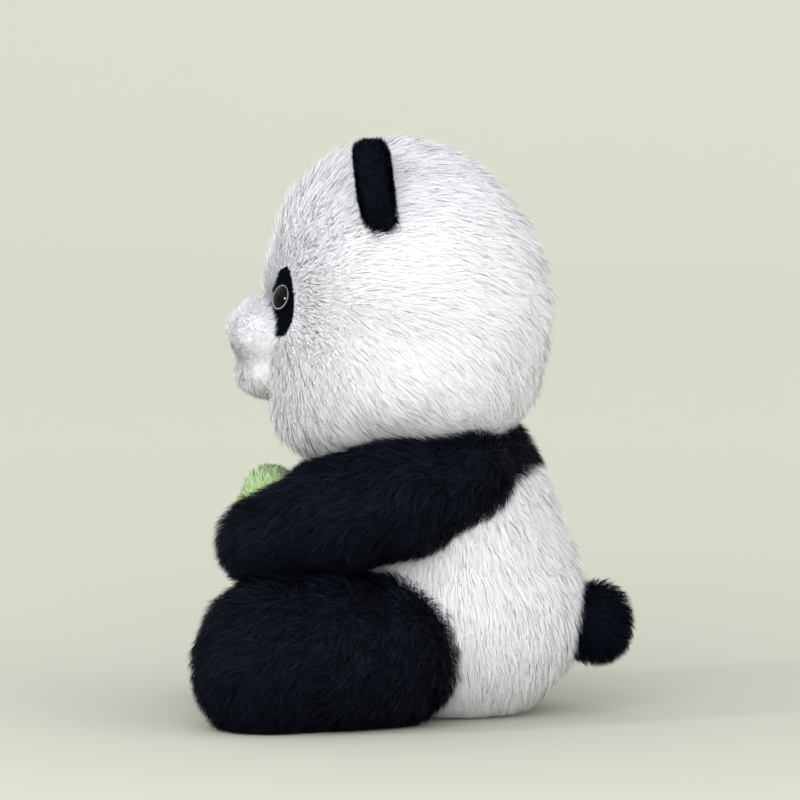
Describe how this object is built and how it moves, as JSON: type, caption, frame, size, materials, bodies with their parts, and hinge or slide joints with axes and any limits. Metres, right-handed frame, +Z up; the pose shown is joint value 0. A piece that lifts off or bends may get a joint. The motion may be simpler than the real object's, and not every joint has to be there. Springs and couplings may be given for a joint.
{
  "type": "plush panda",
  "caption": "Seated plush panda with a round turning head, folding ears, swinging arms round a soft bamboo stalk, spreading legs and a wagging tail.",
  "frame": {"origin": "on the seat plane, at the bottom centre of the whole toy's box", "axes": "+Z up, the panda faces -Y and its left side is +X"},
  "size_m": [0.1984, 0.2056, 0.2732],
  "materials": {
    "white_plush": "matte",
    "black_plush": "matte",
    "black_velvet": "matte",
    "fibre_filling": "matte",
    "pellet_cloth": "matte",
    "white_thread": "satin",
    "black_thread": "satin",
    "eye_gloss": "gloss",
    "washer_plastic": "matte",
    "green_plush": "matte",
    "green_thread": "satin"
  },
  "bodies": {
    "torso": {"torso_cover": "white_plush", "shoulder_yoke": "black_plush", "base_panel": "white_plush", "torso_stuffing": "fibre_filling", "pellet_bag": "pellet_cloth", "closing_stitches": "white_thread", "neck_thread": "black_thread"},
    "neck": {"neck_stuffing": "fibre_filling"},
    "head": {"head_cover": "white_plush", "head_stuffing": "fibre_filling", "muzzle_cover": "white_plush", "muzzle_stuffing": "fibre_filling", "nose": "black_thread", "mouth_stitches": "black_thread", "eye_patch_left": "black_velvet", "eye_left": "eye_gloss", "eye_washer_left": "washer_plastic", "eye_patch_right": "black_velvet", "eye_right": "eye_gloss", "eye_washer_right": "washer_plastic"},
    "tail": {"tail_cover": "black_velvet", "tail_stuffing": "fibre_filling"},
    "ear_left": {"ear_cover_left": "black_velvet", "ear_wadding_left": "fibre_filling"},
    "arm_left": {"arm_cover_left": "black_plush", "arm_stuffing_left": "fibre_filling"},
    "leg_left": {"leg_cover_left": "black_plush", "leg_stuffing_left": "fibre_filling"},
    "ear_right": {"ear_cover_right": "black_velvet", "ear_wadding_right": "fibre_filling"},
    "arm_right": {"arm_cover_right": "black_plush", "arm_stuffing_right": "fibre_filling", "bamboo_cover": "green_plush", "bamboo_stuffing": "fibre_filling", "bamboo_stitches": "green_thread"},
    "leg_right": {"leg_cover_right": "black_plush", "leg_stuffing_right": "fibre_filling"}
  },
  "joints": [
    {"name": "head_turn", "type": "hinge", "parent": "torso", "child": "neck", "pos_m": [0, 0.01, 0.138], "axis": [0, 0, 1], "range_deg": [-15, 15], "stiffness_Nm_per_rad": 0.4},
    {"name": "head_nod", "type": "hinge", "parent": "neck", "child": "head", "pos_m": [0, 0.01, 0.138], "axis": [1, 0, 0], "range_deg": [-10, 1], "stiffness_Nm_per_rad": 1.2},
    {"name": "ear_left_fold", "type": "hinge", "parent": "head", "child": "ear_left", "pos_m": [0.058, -0.017, 0.248], "axis": [0.7314, 0, -0.682], "range_deg": [-17, 17], "stiffness_Nm_per_rad": 0.02},
    {"name": "arm_left_swing", "type": "hinge", "parent": "torso", "child": "arm_left", "pos_m": [0.05, 0.028, 0.111], "axis": [-0.3505, 0.1001, 0.9312], "range_deg": [0, 35], "stiffness_Nm_per_rad": 0.15},
    {"name": "leg_left_splay", "type": "hinge", "parent": "torso", "child": "leg_left", "pos_m": [0.052, -0.008, 0.0355], "axis": [0, 0, 1], "range_deg": [-4, 20], "stiffness_Nm_per_rad": 0.4},
    {"name": "ear_right_fold", "type": "hinge", "parent": "head", "child": "ear_right", "pos_m": [-0.058, -0.017, 0.248], "axis": [-0.7314, 0, -0.682], "range_deg": [-17, 17], "stiffness_Nm_per_rad": 0.02},
    {"name": "arm_right_swing", "type": "hinge", "parent": "torso", "child": "arm_right", "pos_m": [-0.05, 0.028, 0.111], "axis": [-0.3505, -0.1001, -0.9312], "range_deg": [0, 35], "stiffness_Nm_per_rad": 0.15},
    {"name": "leg_right_splay", "type": "hinge", "parent": "torso", "child": "leg_right", "pos_m": [-0.052, -0.008, 0.0355], "axis": [0, 0, -1], "range_deg": [-4, 20], "stiffness_Nm_per_rad": 0.4},
    {"name": "tail_wag", "type": "hinge", "parent": "torso", "child": "tail", "pos_m": [0, 0.077, 0.044], "axis": [0, 0, 1], "range_deg": [-15, 15], "stiffness_Nm_per_rad": 0.03}
  ]
}
